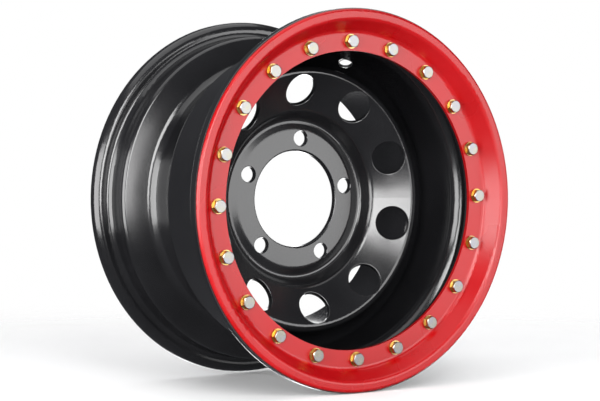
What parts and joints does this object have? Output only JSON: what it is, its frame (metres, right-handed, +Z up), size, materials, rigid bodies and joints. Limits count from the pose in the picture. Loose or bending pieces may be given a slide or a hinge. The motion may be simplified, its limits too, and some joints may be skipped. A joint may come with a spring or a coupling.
{
  "type": "simulated beadlock wheel",
  "caption": "Steel off-road wheel with a drop-centre rim, a deep dished disc with round vents and a bolted outer ring that looks like a beadlock.",
  "frame": {"origin": "on the wheel's axis, in the face that meets the vehicle's hub", "axes": "the wheel turns about Y, its front faces -Y, +Z is up"},
  "size_m": [0.4196, 0.237, 0.4196],
  "materials": {
    "black_paint": "gloss black powder coat",
    "red_paint": "gloss red paint",
    "yellow_zinc": "yellow zinc plate"
  },
  "bodies": {
    "root": {"rim_barrel": "black_paint", "wheel_disc": "black_paint", "disc_welds": "black_paint", "ring_mount": "black_paint", "ring_mount_weld": "black_paint", "outer_ring": "red_paint", "ring_bolts": "yellow_zinc", "ring_washers": "yellow_zinc"}
  },
  "joints": []
}
